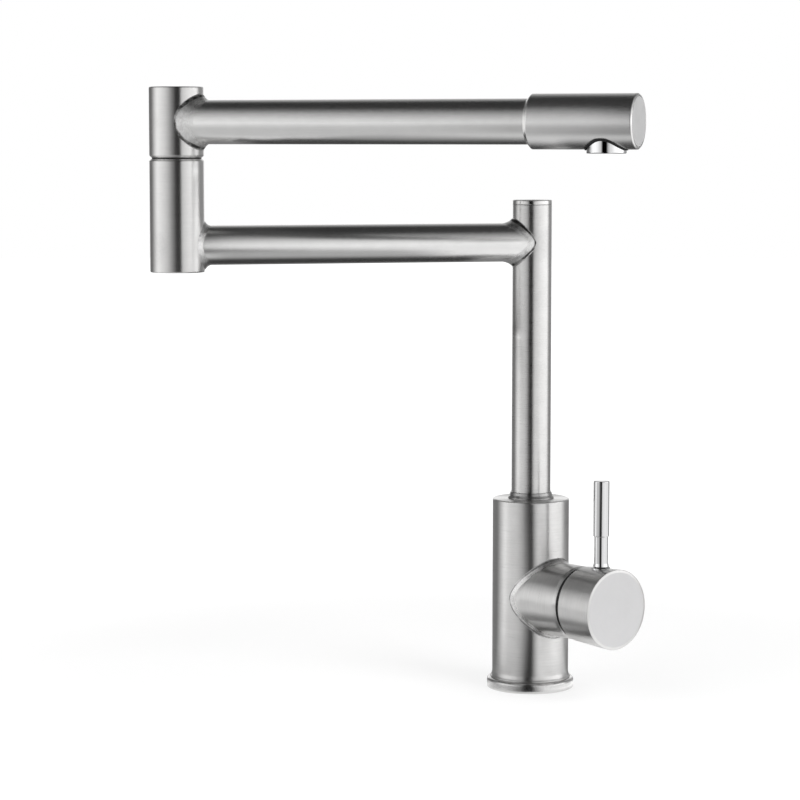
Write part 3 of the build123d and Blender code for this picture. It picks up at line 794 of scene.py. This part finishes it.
# %% Seal and threads
seal_gap = 0.0011
shell_clearance = 0.00002
recess_clearance = 0.00004
shell_radius = radius_of("aerator_shell")
head_low, head_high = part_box("spout_head")
head_radius = (head_high.z - head_low.z) / 2
recess_radius = shell_radius + seal_gap
recess_ceiling = -math.sqrt(head_radius ** 2 - recess_radius ** 2)
seal_centre = Vector((aerator_centre.x, aerator_centre.y, head_end.z))
saddle_seal("aerator_seal", "spout", seal_centre, head_radius, shell_radius + shell_clearance,
            recess_radius - recess_clearance, recess_ceiling, slip_black)
thread_steel = brushed_steel("thread_steel", deck, up, steel, rough=0.3)
mount = {m["name"]: m for m in frame["record"]["mounts"]}
for name, pitch in (("shank_thread", 0.002), ("hot_inlet", 0.001), ("cold_inlet", 0.001)):
    sizes = mount[name]["dims"]
    inner_thread(name + "_ridge", "base", Vector(mount[name]["pos_m"]), sizes["r_mm"] / 1000,
                 sizes["length_mm"] / 1000, pitch, thread_steel)
print("seal and threads made")

# %% [markdown]
# ## Brass and screws
# The spigot, the spindle, the nuts and the valve's stem are turned from brass bar, so their lines run
# around their own axes. The screws and the pin are steel with little direction. The lock screw shows
# at the back of the body. The others are seen when the model is opened, so they get a finish too.

# %% Brass pieces and screws
screw_steel = (0.6, 0.6, 0.61)
for name, centre, axis in (("riser_spigot", deck, up), ("elbow_spindle", elbow, up),
                           ("elbow_lock_nut", elbow, up), ("cartridge_nut", valve_centre, valve_axis),
                           ("stem", valve_centre, valve_axis)):
    wear(name, turned_brass(name + "_brass", centre, axis))
cross_axis = up.cross(valve_axis)
for name, centre, axis in (("riser_lock_screw", middle("riser_lock_screw"), Vector((0, 1, 0))),
                           ("pivot_pin", middle("pivot_pin"), cross_axis),
                           ("handle_set_screw", middle("handle_set_screw"), up)):
    wear(name, brushed_steel(name + "_steel", centre, axis, screw_steel, rough=0.3, directional=0.3))
print("brass and screws finished")

# %% [markdown]
# ## Floor and background
# The photograph stands on plain white. The world is white for what the camera and the reflections
# see, and a plain grey for soft light on matt surfaces. The floor glows white in the same way, and
# close to the mixer it keeps a matt part that takes the shadow.

# %% World
soft_air = 0.45
world = bpy.data.worlds.new("studio_air")
bpy.context.scene.world = world
world.use_nodes = True
world.node_tree.nodes.clear()
sky = world.node_tree


def seen_directly(tree):
    path = tree.nodes.new("ShaderNodeLightPath")
    seen = number(tree, "MAXIMUM", path.outputs["Is Camera Ray"], path.outputs["Is Glossy Ray"])
    return number(tree, "MAXIMUM", seen, path.outputs["Is Transmission Ray"])


air = node(sky, "ShaderNodeBackground")
plug(sky, air, "Color", (1, 1, 1, 1))
plug(sky, air, "Strength", spread(sky, seen_directly(sky), 0.0, 1.0, soft_air, 1.0))
out = sky.nodes.new("ShaderNodeOutputWorld")
sky.links.new(air.outputs[0], out.inputs["Surface"])
print("air ready")

# %% Floor
floor_level = -0.0004
floor_half = 6
shadow_middle = (-0.03, 0.0, 0.0)
shadow_reach = (0.2, 0.75)
near_glow = 0.74
matt_greys = ((0.3, 0.3, 0.3), (0.31, 0.31, 0.31))
plain_grey = (0.7, 0.7, 0.7, 1)


def flat_mesh(name, corners):
    mesh = bpy.data.meshes.new(name)
    mesh.from_pydata(corners, [], [tuple(range(len(corners)))])
    piece = bpy.data.objects.new(name, mesh)
    bpy.context.scene.collection.objects.link(piece)
    return piece


floor_white, tree = new_material("floor_white")
here = place_of(tree)
gap = vector(tree, "LENGTH", vector(tree, "SUBTRACT", here, shadow_middle))
nearby = spread(tree, gap, *shadow_reach, 1.0, 0.0)
cloud = noise(tree, here, 14.0, 2.0, 0.5)
matt_colour = tint(tree, cloud, *matt_greys)
matt = node(tree, "ShaderNodeBsdfDiffuse", Color=matt_colour)
glow = node(tree, "ShaderNodeEmission")
plug(tree, glow, "Strength", spread(tree, nearby, 0.0, 1.0, 1.0, near_glow))
both = tree.nodes.new("ShaderNodeAddShader")
tree.links.new(matt.outputs[0], both.inputs[0])
tree.links.new(glow.outputs[0], both.inputs[1])
plain = node(tree, "ShaderNodeBsdfDiffuse")
plug(tree, plain, "Color", plain_grey)
choose = mix_shaders(tree, seen_directly(tree), plain.outputs[0], both.outputs[0])
finish_with(tree, choose)
corners = ((-1, -1), (1, -1), (1, 1), (-1, 1))
floor = flat_mesh("floor", [(floor_half * x, floor_half * y, floor_level) for x, y in corners])
floor.data.materials.append(floor_white)
print("floor ready")

# %% [markdown]
# ## Flags and soft boxes
# Steel shows what stands around it, so the studio matters as much as the steel. Curved walls, floor
# mats and small cards stand around the mixer where only reflections can see them. Black flags give
# the dark stripe down the middle of each post and the dark rims, soft boxes light the sides, mats
# carry both on over the floor, and cards below the arms shade their undersides. Each cloth fades
# at its edges, so that the bands on the steel are soft.

# %% A cloth that fades at its edges
stand = Vector((-0.085, 0.0, 0.2))


def cloth(name, grid, glow, fade):
    wide, tall = len(grid) - 1, len(grid[0]) - 1
    mesh = bpy.data.meshes.new(name)
    form = bmesh.new()
    layer = form.loops.layers.uv.new("edge")
    knots = [[form.verts.new(spot) for spot in column] for column in grid]
    for i in range(wide):
        for j in range(tall):
            face = form.faces.new((knots[i][j], knots[i + 1][j], knots[i + 1][j + 1], knots[i][j + 1]))
            for loop, (di, dj) in zip(face.loops, ((0, 0), (1, 0), (1, 1), (0, 1))):
                loop[layer].uv = ((i + di) / wide, (j + dj) / tall)
    form.to_mesh(mesh)
    form.free()
    material, tree = new_material(name + "_cloth")
    uv = tree.nodes.new("ShaderNodeUVMap")
    uv.uv_map = "edge"
    split = tree.nodes.new("ShaderNodeSeparateXYZ")
    tree.links.new(uv.outputs[0], split.inputs[0])
    cover = 1.0
    for place, (first, last) in enumerate(fade):
        for begin, full in ((0.0, first), (1.0, 1.0 - last)):
            if begin != full:
                edge = spread(tree, split.outputs[place], begin, full, 0.0, 1.0, "LINEAR")
                cover = number(tree, "MULTIPLY", edge, cover)
    light = node(tree, "ShaderNodeEmission", Strength=glow)
    clear = tree.nodes.new("ShaderNodeBsdfTransparent")
    finish_with(tree, mix_shaders(tree, cover, clear.outputs[0], light.outputs[0]))
    mesh.materials.append(material)
    piece = bpy.data.objects.new(name, mesh)
    bpy.context.scene.collection.objects.link(piece)
    piece.visible_camera = False
    piece.visible_diffuse = False
    piece.visible_shadow = False
    return piece


print("cloth ready")

# %% [markdown]
# ## Walls, mats and cards
# A wall is a piece of a sphere around the mixer, given by its turn and rise in degrees, its radius and
# its glow. A mat is a piece of a ring on the floor, and a runner a straight one. A card hangs below an
# arm: `along` and `behind` are its reach along the arm and across it, `drop` how far below. The last
# pairs say which share of the cloth fades at each end, first across its turn, then across its rise.

# %% Shapes of the cloths
def heading(turn, rise=0.0):
    a, e = math.radians(turn), math.radians(rise)
    return Vector((math.sin(a) * math.cos(e), -math.cos(a) * math.cos(e), math.sin(e)))


def steps(first, last, count):
    return [first + (last - first) * i / count for i in range(count + 1)]


def wall(name, turn, rise, radius, glow, fade):
    grid = [[stand + radius * heading(a, e) for e in steps(*rise, 16)] for a in steps(*turn, 32)]
    return cloth(name, grid, glow, fade)


def mat(name, turn, reach, glow, fade, lift=0.0008):
    grid = [[heading(a) * r + up * lift for r in steps(*reach, 16)] for a in steps(*turn, 32)]
    return cloth(name, grid, glow, fade)


def runner(name, across, back, glow, fade, lift):
    grid = [[Vector((x, y, lift)) for y in steps(*back, 16)] for x in steps(*across, 32)]
    return cloth(name, grid, glow, fade)


def card(name, start, axis, along, behind, drop, glow, fade):
    side = up.cross(axis)
    back = side if side.y > 0 else -side
    level = start - up * drop
    grid = [[level + axis * u + back * v for v in steps(*behind, 16)] for u in steps(*along, 32)]
    return cloth(name, grid, glow, fade)


print("cloth shapes ready")

# %% Walls, mats and cards in place
wall("front_flag", (-50, 19), (-12, 62), 3.70, 0.24, ((0.52, 0.29), (0.0, 0.0)))
wall("near_flag", (-19, 13), (-12, 62), 0.70, 0.0, ((0.24, 0.22), (0.0, 0.0)))
wall("left_box", (-112, -48), (-12, 40), 3.80, 1.25, ((0.2, 0.3), (0.0, 0.3)))
wall("right_sheet", (4, 66), (-12, 50), 3.75, 0.86, ((0.1, 0.5), (0.0, 0.2)))
wall("right_box", (24, 114), (-12, 32), 3.60, 1.74, ((0.6, 0.16), (0.0, 0.6)))
wall("back_left_flag", (-162, -84), (-12, 62), 3.50, 0.17, ((0.1, 0.5), (0.0, 0.0)))
wall("back_right_flag", (98, 162), (-12, 62), 3.40, 0.38, ((0.31, 0.1), (0.0, 0.0)))
wall("top_flag", (-180, 180), (8, 90), 3.20, 0.03, ((0.0, 0.0), (0.64, 0.0)))
mat("left_mat", (-90, -4), (0.03, 3.7), 0.58, ((0.25, 0.14), (0.0, 0.75)), 0.0004)
mat("right_front_mat", (6, 70), (0.029, 3.7), 0.86, ((0.2, 0.5), (0.0, 0.75)), 0.0005)
mat("front_mat", (-42, 20), (0.029, 3.7), 0.0, ((0.48, 0.3), (0.0, 0.0)), 0.0012)
mat("right_mat", (22, 114), (0.029, 3.6), 0.92, ((0.5, 0.16), (0.0, 0.0)))
mat("right_near_mat", (22, 114), (0.029, 0.45), 1.25, ((0.5, 0.16), (0.0, 0.6)), 0.0010)
mat("back_mat", (100, 274), (0.029, 3.5), 0.22, ((0.12, 0.2), (0.0, 0.0)), 0.0016)
mat("arm_front_mat", (-75, -2), (0.09, 0.40), 0.66, ((0.25, 0.18), (0.25, 0.3)), 0.0014)
mat("neck_mat", (-130, -20), (0.040, 0.10), 0.20, ((0.3, 0.3), (0.0, 0.7)), 0.0018)
mat("cap_mat", (20, 120), (0.036, 0.085), 0.2, ((0.3, 0.3), (0.3, 0.4)), 0.0021)
runner("head_mat", (0.08, 0.42), (-0.10, 0.25), 0.6, ((0.3, 0.2), (0.3, 0.1)), 0.0022)
card("lower_front_card", lower_arm_start, lower_arm_axis, (0.03, 0.205), (-0.13, 0.0), 0.062, 0.42,
     ((0.25, 0.1), (0.45, 0.0)))
card("lower_arm_card", lower_arm_start, lower_arm_axis, (0.02, 0.215), (-0.03, 0.06), 0.06, 0.03,
     ((0.06, 0.06), (0.25, 0.25)))
card("upper_arm_card", upper_arm_start, upper_arm_axis, (0.03, 0.25), (-0.014, 0.04), 0.03, 0.05,
     ((0.08, 0.1), (0.37, 0.25)))
card("head_card", upper_arm_start, upper_arm_axis, (0.235, 0.315), (-0.026, 0.055), 0.045, 0.05,
     ((0.12, 0.15), (0.4, 0.25)))

# %% [markdown]
# ## Lamps
# Two large soft lamps light the matt pieces and draw the shadow on the floor. The steel already
# mirrors the soft boxes, so the lamps are hidden from reflections.

# %% Lamps


def soft_lamp(name, spot, size, power):
    data = bpy.data.lights.new(name, "AREA")
    data.shape = "DISK"
    data.size = size
    data.energy = power
    lamp = bpy.data.objects.new(name, data)
    bpy.context.scene.collection.objects.link(lamp)
    lamp.location = spot
    aim = stand - Vector(spot)
    lamp.rotation_euler = aim.to_track_quat("-Z", "Y").to_euler()
    lamp.visible_glossy = False
    return lamp


soft_lamp("key_lamp", (0.9, -0.9, 1.3), size=0.9, power=14.0)
soft_lamp("fill_lamp", (-1.1, -0.8, 1.2), size=1.1, power=9.0)
print("lamps ready")

# %% [markdown]
# ## Camera
# The photograph was taken with a long lens from a little above the spout. The lens, the height and
# the distance were found by matching the edges of the posts and arms.

# %% Camera and view
lens_data = bpy.data.cameras.new("photo_camera")
lens_data.sensor_width = 36.0
lens_data.lens = 120.24
camera = bpy.data.objects.new("photo_camera", lens_data)
bpy.context.scene.collection.objects.link(camera)
tilt = math.radians(5.66)
distance = 1.71332
aim_point = Vector((-0.08422, 0.0, 0.18588))
camera.location = aim_point + distance * Vector((0, -math.cos(tilt), math.sin(tilt)))
camera.rotation_euler = (math.pi / 2 - tilt, 0, 0)
bpy.context.scene.camera = camera
bpy.context.scene.view_settings.view_transform = "Standard"
print("camera", tuple(camera.location))
